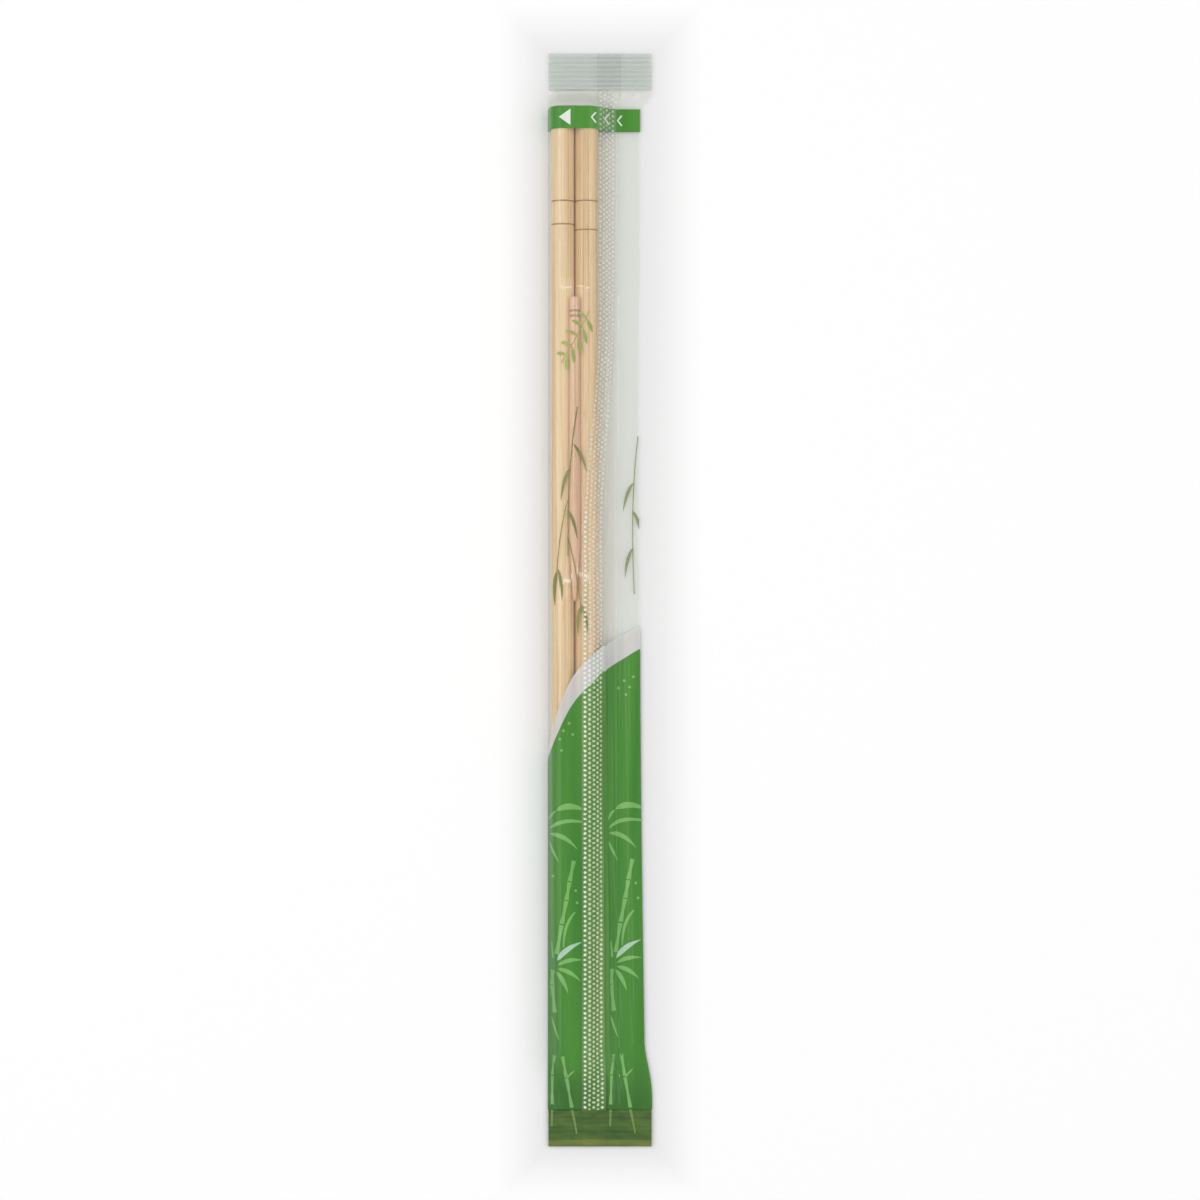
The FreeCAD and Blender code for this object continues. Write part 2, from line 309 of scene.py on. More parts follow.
# Meshes
def add_mesh(name, vertices, faces, materials, slots=None):
    mesh = bpy.data.meshes.new(name)
    mesh.from_pydata([tuple(v) for v in vertices], [], faces)
    for m in materials:
        mesh.materials.append(m)
    if slots:
        mesh.polygons.foreach_set("material_index", slots)
    mesh.polygons.foreach_set("use_smooth", [True] * len(mesh.polygons))
    mesh.update()
    obj = bpy.data.objects.new(name, mesh)
    bpy.context.scene.collection.objects.link(obj)
    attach(obj, "root")
    return obj


def weld(obj, distance):
    bm = bmesh.new()
    bm.from_mesh(obj.data)
    bmesh.ops.remove_doubles(bm, verts=bm.verts, dist=distance)
    bm.to_mesh(obj.data)
    bm.free()


def band(first, second, count, closed=False):
    """The faces between two rows of this many vertices, given the first vertex of each."""
    pairs = [(i, i + 1) for i in range(count - 1)] + ([(count - 1, 0)] if closed else [])
    return [(second + i, second + k, first + k, first + i) for i, k in pairs]


# Materials: a value is a plain number or colour, or another node's output
MIX_FACTOR, MIX_A, MIX_B, MIX_RESULT = 0, 6, 7, 2
WHITE = (1, 1, 1, 1)
LONG_RIPPLE = (420, 9, 420)
# How the film's gloss grows from its own share as the angle gets glancing, and fades for shadows
FILM_IOR, GLANCING_GAIN, GLOSS_HEAD_ON, SHADOW_FADE = 1.5, 1.6, 0.06, 0.8
WOOD_SPECULAR, INK_SPECULAR, INK_COAT, INK_COAT_ROUGH = 0.4, 0.35, 0.15, 0.08


def material(name):
    mat = bpy.data.materials.new(name)
    mat.use_nodes = True
    tree = mat.node_tree
    tree.nodes.clear()
    return mat, tree, node(tree, "ShaderNodeOutputMaterial").inputs["Surface"]


def feed(tree, socket, value):
    if hasattr(value, "is_linked"):
        tree.links.new(value, socket)
    else:
        socket.default_value = value


def node(tree, kind, **values):
    """A node with these inputs and settings, each space in an input's name as an underscore."""
    n = tree.nodes.new(kind)
    for key, value in values.items():
        socket = key.replace("_", " ")
        if socket in n.inputs:
            feed(tree, n.inputs[socket], value)
        else:
            setattr(n, key, value)
    return n


def calc(tree, operation, *values, clamped=False):
    """The result of this operation on the values."""
    n = node(tree, "ShaderNodeMath", operation=operation, use_clamp=clamped)
    for socket, value in zip(n.inputs, values):
        feed(tree, socket, value)
    return n.outputs[0]


def smooth_range(tree, value, start, end, most=1.0):
    """0 up to start, then smoothly to the most at end."""
    return node(tree, "ShaderNodeMapRange", interpolation_type="SMOOTHSTEP", Value=value,
                From_Min=start, From_Max=end, To_Max=most).outputs[0]


def mixed(tree, a, b, factor, kind="MIX"):
    """Colour b laid over colour a by the factor."""
    m = node(tree, "ShaderNodeMix", data_type="RGBA", blend_type=kind)
    for index, value in ((MIX_A, a), (MIX_B, b), (MIX_FACTOR, factor)):
        feed(tree, m.inputs[index], value)
    return m.outputs[MIX_RESULT]


def mixed_shader(tree, factor, first, second):
    m = node(tree, "ShaderNodeMixShader", Fac=factor)
    for index, value in ((1, first), (2, second)):
        feed(tree, m.inputs[index], value.outputs[0])
    return m


def ramp(tree, source, stops):
    r = node(tree, "ShaderNodeValToRGB", Fac=source)
    elements = r.color_ramp.elements
    elements[0].position, elements[0].color = stops[0]
    elements[1].position, elements[1].color = stops[-1]
    for position, color in stops[1:-1]:
        elements.new(position).color = color
    return r.outputs["Color"]


def lin(r, g, b):
    """An sRGB colour from 0 to 255, made linear."""
    def f(v):
        v /= 255
        return v / 12.92 if v <= 0.04045 else ((v + 0.055) / 1.055) ** 2.4
    return (f(r), f(g), f(b), 1.0)


def own_place(tree):
    return node(tree, "ShaderNodeTexCoord").outputs["Object"]


def own_axes(tree):
    return node(tree, "ShaderNodeSeparateXYZ", Vector=own_place(tree)).outputs


def noise(tree, scale, detail=2.0, rough=0.5, offset=(0, 0, 0)):
    place = node(tree, "ShaderNodeMapping", Vector=own_place(tree), Scale=scale, Location=offset)
    return node(tree, "ShaderNodeTexNoise", Vector=place.outputs["Vector"], Scale=1.0,
                Detail=detail, Roughness=rough).outputs["Fac"]


def bump(tree, height, distance, strength):
    return node(tree, "ShaderNodeBump", Height=height, Strength=strength,
                Distance=distance).outputs["Normal"]


def wood(name, pale, mid, dark, seed):
    """Fine streaks along Y, broad soft bands of tone and short dark pores."""
    mat, tree, surface = material(name)
    shift = (seed * 1.7, seed * 0.9, seed * 2.3)
    broad = noise(tree, (260, 4, 260), 3.0, 0.5, shift)
    fine = noise(tree, (2600, 16, 2600), 4.0, 0.62, shift)
    pores = noise(tree, (5200, 150, 5200), 2.0, 0.5, shift)
    base = ramp(tree, fine, [(0.30, dark), (0.50, mid), (0.68, pale)])
    tint = ramp(tree, broad, [(0.32, (0.93, 0.89, 0.84, 1)), (0.66, (1.04, 1.03, 1.0, 1))])
    fleck = ramp(tree, pores, [(0.30, (0.66, 0.54, 0.43, 1)), (0.40, WHITE)])
    colour = mixed(tree, mixed(tree, base, tint, 1.0, "MULTIPLY"), fleck, 0.45, "MULTIPLY")
    p = node(tree, "ShaderNodeBsdfPrincipled", Base_Color=colour, Roughness=0.42,
             Specular_IOR_Level=WOOD_SPECULAR, Normal=bump(tree, fine, 0.00006, 0.5))
    feed(tree, surface, p.outputs["BSDF"])
    return mat


def burnt(name):
    mat, tree, surface = material(name)
    grain = noise(tree, (2600, 60, 2600), 3.0)
    colour = ramp(tree, grain, [(0.3, lin(150, 98, 60)), (0.7, lin(192, 140, 94))])
    p = node(tree, "ShaderNodeBsdfPrincipled", Base_Color=colour, Roughness=0.6)
    feed(tree, surface, p.outputs["BSDF"])
    return mat


def clear_film(name, gloss=0.07, haze=0.012, rough=0.06, tint=lin(252, 253, 251),
               ripple=0.00006, ribs=0.0, veil=lin(236, 240, 238)):
    """Clear film: mostly see-through, with a faint haze of the veil's colour and a share of gloss
    that grows at a glancing angle, less of it for shadows. Ribs is how strong the painted highlight
    lines are: stripes of whitish haze, a millimetre apart along Y, for the ridges of a crimped
    seal."""
    mat, tree, surface = material(name)
    small_ripple = noise(tree, (900, 220, 900), 2.0, 0.5)
    ripples = mixed(tree, noise(tree, LONG_RIPPLE, 3.0, 0.55), small_ripple, 0.25)
    normal = bump(tree, ripples, ripple, 0.8)
    back = node(tree, "ShaderNodeNewGeometry").outputs["Backfacing"]
    index = calc(tree, "MULTIPLY_ADD", back, 1 / FILM_IOR - FILM_IOR, FILM_IOR)
    fresnel = node(tree, "ShaderNodeFresnel", IOR=index, Normal=normal).outputs[0]
    share = calc(tree, "MULTIPLY_ADD", fresnel, GLANCING_GAIN, gloss - GLOSS_HEAD_ON,
                 clamped=True)
    shadow = node(tree, "ShaderNodeLightPath").outputs["Is Shadow Ray"]
    faded = calc(tree, "MULTIPLY_ADD", shadow, -SHADOW_FADE, 1.0)
    shown = calc(tree, "MULTIPLY", share, faded)
    if ribs:
        # Painted highlight lines for a seal's ribs: the haze rises and falls a millimetre apart
        # along Y
        turns = calc(tree, "MULTIPLY", own_axes(tree)["Y"], 2 * math.pi / MM)
        haze = calc(tree, "MULTIPLY_ADD", calc(tree, "SINE", turns), ribs, haze + ribs)
    see = node(tree, "ShaderNodeBsdfTransparent", Color=tint)
    milk = node(tree, "ShaderNodeBsdfDiffuse", Color=veil)
    shine = node(tree, "ShaderNodeBsdfGlossy", Roughness=rough, Normal=normal)
    sheet = mixed_shader(tree, shown, mixed_shader(tree, haze, see, milk), shine)
    feed(tree, surface, sheet.outputs[0])
    return mat


def ink(name, low, high, rough=0.3, scale=(240, 14, 240), see=0.0, dark_to=0.0):
    """Printed film, from one tone to another in long soft patches. See is how much shows through
    it, and dark_to how dark it is at the lower seal, as a share of its own tone."""
    mat, tree, surface = material(name)
    colour = ramp(tree, noise(tree, scale, 3.0, 0.55), [(0.32, low), (0.68, high)])
    if dark_to:
        share = smooth_range(tree, own_axes(tree)["Y"], (Y_LOW - 1) * MM, (Y_LOW + 13) * MM)
        shade = ramp(tree, share, [(0.0, (dark_to, dark_to, dark_to, 1)), (1.0, WHITE)])
        colour = mixed(tree, colour, shade, 1.0, "MULTIPLY")
    p = node(tree, "ShaderNodeBsdfPrincipled", Base_Color=colour, Roughness=rough,
             Specular_IOR_Level=INK_SPECULAR, Coat_Weight=INK_COAT, Coat_Roughness=INK_COAT_ROUGH,
             Normal=bump(tree, noise(tree, LONG_RIPPLE, 3.0, 0.55), 0.00008, 0.6))
    if see:
        clear = node(tree, "ShaderNodeBsdfTransparent", Color=lin(250, 251, 249))
        p = mixed_shader(tree, see, p, clear)
    feed(tree, surface, p.outputs[0])
    return mat


M_FILM = clear_film("film_clear")
# The seal's ribs get painted highlight lines in its haze
M_SEAL = clear_film("film_seal", gloss=0.13, haze=0.06, rough=0.14, tint=lin(240, 243, 240),
                    ribs=0.09)
M_FIN = clear_film("film_fin", gloss=0.05, haze=0.02, rough=0.3, tint=lin(251, 250, 246),
                   ripple=0.00001)
M_DOT = clear_film("film_fin_knurl", gloss=0.05, haze=0.42, rough=0.4, ripple=0.00001,
                   veil=lin(253, 250, 238))
M_GREEN = ink("ink_green", lin(46, 120, 26), lin(72, 142, 42), dark_to=0.62)
M_TAB = ink("ink_tab_green", lin(52, 130, 26), lin(78, 152, 46))
M_OLIVE = ink("ink_green_sealed", lin(38, 78, 12), lin(80, 110, 38), rough=0.4,
              scale=(160, 500, 160))
M_EDGE = ink("ink_green_cut_edge", lin(80, 106, 32), lin(120, 128, 58), rough=0.4,
             scale=(120, 700, 120))
M_FIN_GREEN = ink("fin_green", lin(76, 126, 48), lin(114, 154, 82), rough=0.35, dark_to=0.7)
M_FIN_DOT = ink("fin_green_knurl", lin(190, 216, 162), lin(224, 236, 204), rough=0.25)
# Near-white knurl dots: painted glints, standing in for the light that the raised dots catch
M_FIN_GLINT = ink("fin_knurl_painted_glint", lin(226, 238, 220), lin(246, 250, 242), rough=0.2)
M_SWEEP = ink("ink_sweep", lin(218, 219, 217), lin(240, 239, 236), see=0.30)
M_LEAF = ink("ink_leaf", lin(104, 170, 80), lin(132, 188, 106))
M_SEAL_LEAF = ink("ink_leaf_sealed", lin(98, 136, 66), lin(126, 156, 88), rough=0.4)
M_PALE_LEAF = ink("ink_leaf_pale", lin(160, 200, 172), lin(184, 214, 190))
M_TWIG = ink("ink_twig", lin(112, 128, 58), lin(140, 148, 78), see=0.25)
M_SPRAY = ink("ink_spray", lin(138, 172, 66), lin(166, 192, 98), see=0.25)
M_WHITE = ink("ink_white", lin(226, 234, 220), lin(244, 247, 240))
M_BAMBOO_L = wood("bamboo_left", lin(247, 222, 179), lin(238, 208, 163), lin(217, 180, 132), 1.0)
M_BAMBOO_R = wood("bamboo_right", lin(246, 220, 177), lin(237, 205, 160), lin(213, 175, 129), 5.0)
M_PICK = wood("toothpick_wood", lin(246, 212, 180), lin(234, 192, 158), lin(208, 162, 128), 9.0)
# Darker wood for the toothpick's grooves: painted shade in the recess
M_GROOVE_SHADE = wood("toothpick_groove_painted_shade", lin(212, 170, 136), lin(196, 150, 116), lin(168, 122, 90), 9.0)
M_BURNT = burnt("burnt_ring")

# Sticks and toothpick, turned from rows of (radius, distance from the head, material)
# The second slot: a burnt ring on a stick, and painted shade in a groove on the toothpick
PLAIN, BURNT_AND_GROOVE_SHADE = 0, 1
# A burnt ring, and a groove whose inner rows carry painted shade: (distance from its place, depth,
# material)
RING = ((-0.24, 0.0, PLAIN), (-0.17, 0.03, BURNT_AND_GROOVE_SHADE), (-0.06, 0.08, BURNT_AND_GROOVE_SHADE),
        (0.06, 0.08, BURNT_AND_GROOVE_SHADE), (0.17, 0.03, PLAIN), (0.24, 0.0, PLAIN))
GROOVE = ((-0.05, 0.0, PLAIN), (0.03, 0.06, BURNT_AND_GROOVE_SHADE), (0.17, 0.27, BURNT_AND_GROOVE_SHADE), (0.25, 0.30, BURNT_AND_GROOVE_SHADE),
          (0.33, 0.27, BURNT_AND_GROOVE_SHADE), (0.47, 0.06, PLAIN), (0.55, 0.0, PLAIN))
GROOVES_FROM_HEAD = (2.8, 3.9)
BARREL_ROWS = (6.0, 30.0, 52.0)
TAPER_ROWS_FROM, TAPER_STEPS, POINT_STEPS = 40.0, 40, 12


def turned(name, rows, x, y, z, materials, around=64):
    vertices, faces, slots = [], [], []
    for radius, distance, _ in rows:
        for k in range(around):
            a = 2 * math.pi * k / around
            ring_point = (x + radius * math.cos(a), y - distance, z + radius * math.sin(a))
            vertices.append(Vector(ring_point) * MM)
    for j in range(len(rows) - 1):
        faces += band(j * around, (j + 1) * around, around, closed=True)
        slots += [rows[j][2]] * around
    head = list(range(around))
    tip = [(len(rows) - 1) * around + k for k in head]
    faces += [tuple(head), tuple(reversed(tip))]
    slots += [PLAIN, PLAIN]
    return add_mesh(name, vertices, faces, materials, slots)


def rounded(radius, length, steps=7):
    """The rows of a rounded end, with a flat middle."""
    rows = []
    for i in range(steps + 1):
        a = math.pi / 2 * i / steps
        width = END_FLAT_SHARE + (1 - END_FLAT_SHARE) * math.sin(a)
        rows.append((radius * width, length * (1 - math.cos(a)), PLAIN))
    return rows


def chopstick(name, x, spacing, materials):
    rows = rounded(STICK_R, STICK_END)
    for middle in (RING_FROM_HEAD, RING_FROM_HEAD + spacing):
        rows += [(STICK_R - depth, middle + off, slot) for off, depth, slot in RING]
    for i in range(TAPER_STEPS):
        distance = blend(TAPER_ROWS_FROM, STICK_LENGTH - STICK_END, i / TAPER_STEPS)
        rows.append((stick_radius(distance), distance, PLAIN))
    tip = rounded(TIP_R, STICK_END)
    rows += [(radius, STICK_LENGTH - d, slot) for radius, d, slot in reversed(tip)]
    return turned(name, rows, x, Y_HEAD, STICK_Z, materials)


def toothpick(name, x, materials):
    rows = rounded(PICK_R, PICK_END, steps=5)
    for start in GROOVES_FROM_HEAD:
        rows += [(PICK_R - depth, start + off, slot) for off, depth, slot in GROOVE]
    rows += [(PICK_R, distance, PLAIN) for distance in BARREL_ROWS]
    for i in range(POINT_STEPS + 1):
        distance = PICK_LENGTH - PICK_POINT * (1 - i / POINT_STEPS)
        rows.append((pick_radius(distance), distance, PLAIN))
    return turned(name, rows, x, Y_PICK, PICK_Z + PICK_RIDES_UP, materials, around=40)


left = chopstick("stick_left", X_LEFT + LEFT_X + DRAWN_IN, RING_SPACING_LEFT,
                 [M_BAMBOO_L, M_BURNT])
right = chopstick("stick_right", X_LEFT + RIGHT_X - DRAWN_IN, RING_SPACING_RIGHT,
                  [M_BAMBOO_R, M_BURNT])
pick = toothpick("pick", X_LEFT + PICK_X, [M_PICK, M_GROOVE_SHADE])
for piece, cad_node, slot in (
    (left, "chopstick_left", "bamboo"),
    (right, "chopstick_right", "bamboo"),
    (pick, "toothpick", "toothpick_wood"),
):
    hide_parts(cad_node)

# The film's grid: rows along y, further apart over the toothpick, and the same number of places u
# round the upper layer in each, closer together where it bends
TAB_TOP, TAB_BOTTOM = -0.44, 4.4
FINE_STEP, COARSE_STEP = 0.6, 1.5
ARC_STEPS, RUN_STEPS = (6, 9, 7, 9, 5, 6), (5, 3, 3, 14, 12)
UNDER_STEPS, FOLD_STEPS = 24, 3


def rows_between(a, b, step):
    count = max(1, math.ceil(abs(b - a) / step))
    return [blend(a, b, i / count) for i in range(count)]


COARSE_FROM, COARSE_TO = Y_PICK + DRAPE_AHEAD, Y_PICK - (PICK_LENGTH + DRAPE_AHEAD)
MARKS = sorted({
    Y_UP, Y_HEAD - TAB_TOP, Y_HEAD, Y_HEAD - TAB_BOTTOM, COARSE_FROM, Y_PICK,
    Y_PICK - (PICK_LENGTH - PICK_POINT), Y_PICK - PICK_LENGTH, COARSE_TO,
    Y_HEAD - STICK_LENGTH, Y_LOW,
}, reverse=True)
ROWS = []
for a, b in zip(MARKS, MARKS[1:]):
    coarse = a <= COARSE_FROM and b >= COARSE_TO
    ROWS += rows_between(a, b, COARSE_STEP if coarse else FINE_STEP)
ROWS.append(Y_LOW)


def row_params(y):
    places = [0.0]
    arc_steps, run_steps = iter(ARC_STEPS), iter(RUN_STEPS)
    for kind, start, end, *_ in path(y).parts:
        n = next(arc_steps if kind == "arc" else run_steps)
        places += [blend(start, end, (i + 1) / n) for i in range(n)]
    return places


GRID = [row_params(y) for y in ROWS]
GRID_X = [[path(y).at(u)[0] for u in places] for y, places in zip(ROWS, GRID)]


def film_body():
    """The whole way round: the upper layer, the right fold, the flat lower layer, the left fold."""
    vertices, faces = [], []
    for y, places in zip(ROWS, GRID):
        vertices += [film_point(u, y) for u in places]
        right_x = right_fold_x(y)
        turns = [math.pi / 2 * i / FOLD_STEPS for i in range(FOLD_STEPS)]
        lower = [(right_x + FOLD_R * math.sin(a), FOLD_Z - FOLD_R * math.cos(a))
                 for a in reversed(turns)]
        lower += [(blend(right_x, FOLD_R, i / UNDER_STEPS), FOLD_Z - FOLD_R)
                  for i in range(1, UNDER_STEPS)]
        lower += [(FOLD_R - FOLD_R * math.sin(a), FOLD_Z - FOLD_R * math.cos(a)) for a in turns]
        vertices += [Vector((X_LEFT + x, y, max(z, 0.0))) * MM for x, z in lower]
    per_row = len(vertices) // len(ROWS)
    for j in range(len(ROWS) - 1):
        faces += band(j * per_row, (j + 1) * per_row, per_row, closed=True)
    return add_mesh("film_body", vertices, faces, [M_FILM])


film = film_body()
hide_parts("film_sleeve")

# End seals: two layers pressed into ribs a millimetre apart
RIB_STEP, SEAL_ACROSS = 0.25, 30
SEAL_Z, SEAL_LAYER, CUT_EDGE_FROM = 0.19, 0.12, 6.4
SEAL_CLEAR, SEAL_GREEN, SEAL_CUT_EDGE = range(3)


def rib(distance):
    return 0.5 - 0.5 * math.cos(2 * math.pi * distance)


def seal_height(x, d):
    """The height of a seal's upper layer at d from its inner edge."""
    sway = 0.05 * math.sin(x * 0.9 + d * 2.0) * (d > 0)
    return SEAL_Z + RIB_HEIGHT * rib(d) + max(sway, 0)


def seal_mesh(name, y_start, outwards, zone):
    """zone(distance) gives the material at this distance from the seal's inner edge."""
    ribs = int(SEAL / RIB_STEP)
    half = -X_LEFT - SEAL_INSET
    vertices, faces, slots = [], [], []
    for drop in (0.0, SEAL_LAYER):
        for j in range(ribs + 1):
            d = SEAL * j / ribs
            for i in range(SEAL_ACROSS + 1):
                x = blend(-half, half, i / SEAL_ACROSS)
                z = seal_height(x, d) - drop
                vertices.append(Vector((x, y_start + outwards * d, z)) * MM)
    columns = SEAL_ACROSS + 1
    for layer in (0, 1):
        for j in range(ribs):
            first = ((ribs + 1) * layer + j) * columns
            quads = band(first, first + columns, columns)
            if (outwards > 0) == (layer == 0):
                quads = [tuple(reversed(q)) for q in quads]
            faces += quads
            slots += [zone(SEAL * (j + 0.5) / ribs)] * SEAL_ACROSS
    return add_mesh(name, vertices, faces, [M_SEAL, M_OLIVE, M_EDGE], slots)


upper_seal = seal_mesh("seal_upper", Y_UP, 1, lambda d: SEAL_CLEAR)
lower_seal = seal_mesh("seal_lower", Y_LOW, -1,
                       lambda d: SEAL_CUT_EDGE if d > CUT_EDGE_FROM else SEAL_GREEN)

# Print: convex fields of (x, s), x from the left fold as seen from above and s down from the
# heads, each cut along the cells of a grid so that it follows the film
LEAST_FIELD, WELD = 1e-6, 2e-7
FIELD_LIFT, SWEEP_LIFT, MOTIF_LIFT = 0.03, 0.05, 0.06
SEAL_INK_LIFT, SEAL_INK_STEP, SEAL_INK_X = 0.05, 0.125, [0.1, 22.0]
UNDER_COLUMNS, UNDER_Z, UNDER_MOTIF_Z = 12, 0.04, 0.02


def clip(subject, clipper):
    """The part of one convex polygon that lies in another, both counter-clockwise."""
    out = subject
    for (ax, ay), (bx, by) in zip(clipper, clipper[1:] + clipper[:1]):
        if not out:
            return []
        result = []
        for (px, py), (qx, qy) in zip(out, out[1:] + out[:1]):
            dp = (bx - ax) * (py - ay) - (by - ay) * (px - ax)
            dq = (bx - ax) * (qy - ay) - (by - ay) * (qx - ax)
            if dp >= 0:
                result.append((px, py))
            if (dp >= 0) != (dq >= 0):
                t = dp / (dp - dq)
                result.append((px + (qx - px) * t, py + (qy - py) * t))
        out = result
    return out


def area(polygon):
    return 0.5 * sum(a[0] * b[1] - b[0] * a[1] for a, b in zip(polygon, polygon[1:] + polygon[:1]))


def cells_near(shape, grid_rows):
    """The cells by this shape, from rows of (upper y, lower y, x's at the upper, at the lower)."""
    x_low, x_high = min(x for x, _ in shape), max(x for x, _ in shape)
    y_low, y_high = min(y for _, y in shape), max(y for _, y in shape)
    for ya, yb, upper, lower in grid_rows:
        if yb > y_high or ya < y_low:
            continue
        for a1, a2, b1, b2 in zip(upper, upper[1:], lower, lower[1:]):
            if max(a2, b2) >= x_low and min(a1, b1) <= x_high:
                yield [(b1, yb), (b2, yb), (a2, ya), (a1, ya)]


def ink_mesh(name, fields, grid_rows, place, mat):
    vertices, faces = [], []
    for field in fields:
        shape = [(x, Y_HEAD - s) for x, s in field]
        if area(shape) <= 0:
            shape.reverse()
        for cell in cells_near(shape, grid_rows):
            inside = clip(cell, shape)
            if len(inside) < 3 or area(inside) < LEAST_FIELD:
                continue
            first = len(vertices)
            vertices += [place(x, y) for x, y in inside]
            faces.append(tuple(range(first, first + len(inside))))
    obj = add_mesh(name, vertices, faces, [mat])
    weld(obj, WELD)


UPPER_ROWS = list(zip(ROWS, ROWS[1:], GRID_X, GRID_X[1:]))
UNDER_X = [[FOLD_R + (right_fold_x(y) - FOLD_R) * i / UNDER_COLUMNS
            for i in range(UNDER_COLUMNS + 1)] for y in ROWS]
UNDER_ROWS = list(zip(ROWS, ROWS[1:], UNDER_X, UNDER_X[1:]))
SEAL_STEPS = int(SEAL / SEAL_INK_STEP)
SEAL_YS = [Y_LOW - SEAL * j / SEAL_STEPS for j in range(SEAL_STEPS + 1)]
SEAL_ROWS = [(ya, yb, SEAL_INK_X, SEAL_INK_X) for ya, yb in zip(SEAL_YS, SEAL_YS[1:])]


def printed(name, fields, lift, mat):
    """Ink on the upper layer."""
    ink_mesh(name, fields, UPPER_ROWS,
             lambda x, y: film_point(path(y).place_at(x), y, lift), mat)


def printed_on_seal(name, fields, mat):
    """Ink on the lower seal."""
    def place(x, y):
        z = seal_height(X_LEFT + x, Y_LOW - y) + SEAL_INK_LIFT
        return Vector((X_LEFT + x, y, z)) * MM
    ink_mesh(name, fields, SEAL_ROWS, place, mat)


def printed_under(name, fields, mat, z):
    """Ink just inside the flat lower layer."""
    ink_mesh(name, fields, UNDER_ROWS, lambda x, y: Vector((X_LEFT + x, y, z)) * MM, mat)


def strip(upper, lower):
    """Convex fields between two lines of (x, s) points with the same count."""
    return [[a, b, c, d] for a, b, c, d in zip(upper, upper[1:], lower[1:], lower)]


def stroke(points, widths):
    """Fields along a line of (x, s) points, with a width at each."""
    left_side, right_side = [], []
    for i, (x, s) in enumerate(points):
        a = points[max(i - 1, 0)]
        b = points[min(i + 1, len(points) - 1)]
        dx, ds = b[0] - a[0], b[1] - a[1]
        length = math.hypot(dx, ds)
        nx, ns = -ds / length * widths[i] / 2, dx / length * widths[i] / 2
        left_side.append((x + nx, s + ns))
        right_side.append((x - nx, s - ns))
    return strip(left_side, right_side)


def curve(a, b, c, steps=7):
    """Points of a bent line from a to c, pulled towards b."""
    out = []
    for i in range(steps + 1):
        t = i / steps
        out.append(tuple(
            (1 - t) ** 2 * a[k] + 2 * t * (1 - t) * b[k] + t * t * c[k] for k in (0, 1)
        ))
    return out


def bent(a, b, c, width, steps=7):
    """A bent line of even width."""
    return stroke(curve(a, b, c, steps), [width] * (steps + 1))


def leaf(a, b, c, width, full=0.4):
    """A bent leaf, widest at the share full of its length."""
    steps, least = 8, 0.06
    power = math.log(0.5) / math.log(full)
    shares = [math.sin(math.pi * (i / steps) ** power) ** 0.8 for i in range(steps + 1)]
    return stroke(curve(a, b, c, steps), [max(width * share, least) for share in shares])


def stalk(points, width):
    """A bamboo stalk: slim joints that thicken a little towards each node."""
    fields = []
    for a, b in zip(points, points[1:]):
        mid = (blend(a[0], b[0], 0.5), blend(a[1], b[1], 0.5))
        short = (blend(a[0], b[0], 0.95), blend(a[1], b[1], 0.95))
        fields += stroke([a, mid, short], [width * 1.15, width * 0.7, width * 1.2])
    return fields


def dots(places, radius, sides=8):
    turns = [2 * math.pi * k / sides for k in range(sides)]
    return [[(x + radius * math.cos(a), s + radius * math.sin(a)) for a in turns]
            for x, s in places]


def smooth_line(points, steps=4):
    """A smooth curve through these (x, s) points."""
    out = []
    for i in range(len(points) - 1):
        before, a, b = points[max(i - 1, 0)], points[i], points[i + 1]
        after = points[min(i + 2, len(points) - 1)]
        for k in range(steps):
            w = k / steps
            out.append(tuple(
                0.5 * (2 * a[j] + (b[j] - before[j]) * w
                       + (2 * before[j] - 5 * a[j] + 4 * b[j] - after[j]) * w**2
                       + (3 * a[j] - before[j] - 3 * b[j] + after[j]) * w**3)
                for j in (0, 1)
            ))
    return out + [points[-1]]


FIELD_END = STICK_LENGTH + TIP_ROOM + 0.2
TAB = [[(-0.2, TAB_TOP), (30, TAB_TOP), (30, TAB_BOTTOM), (-0.2, TAB_BOTTOM)]]
SWEEP_OUTER = smooth_line([
    (-0.1, 138.8), (1.1, 132.8), (2.9, 126.9), (5.0, 122.4), (7.0, 119.6),
    (9.6, 117.0), (12.9, 114.6), (15.8, 112.9), (20.5, 110.6), (28.0, 107.4),
])
SWEEP_INNER = smooth_line([
    (-0.1, 139.8), (1.4, 135.6), (3.6, 130.6), (5.6, 127.2), (7.6, 124.8),
    (9.9, 122.6), (12.9, 120.0), (16.4, 117.8), (20.5, 115.4), (28.0, 111.8),
])
BOTTOM = [(x, FIELD_END) for x, _ in SWEEP_INNER]

printed("ink_field", strip(SWEEP_INNER, BOTTOM), FIELD_LIFT, M_GREEN)
printed("ink_tab", TAB, FIELD_LIFT, M_TAB)
printed("ink_sweep", strip(SWEEP_OUTER, SWEEP_INNER), SWEEP_LIFT, M_SWEEP)

# An arrowhead and three chevrons on the tear band
ARROWS = [[(2.4, 2.0), (4.9, 0.25), (4.9, 3.75)]]
for x in (9.4, 12.2, 15.0):
    ARROWS += stroke([(x + 0.9, 0.9), (x, 2.0), (x + 0.9, 3.1)], [0.35] * 3)
printed("ink_arrow", ARROWS, MOTIF_LIFT, M_WHITE)

# The bamboo ornament stands twice across the sleeve: (x, growth of its two longest leaves)
ORNAMENTS = ((0.0, 1.0), (12.6, 1.05))


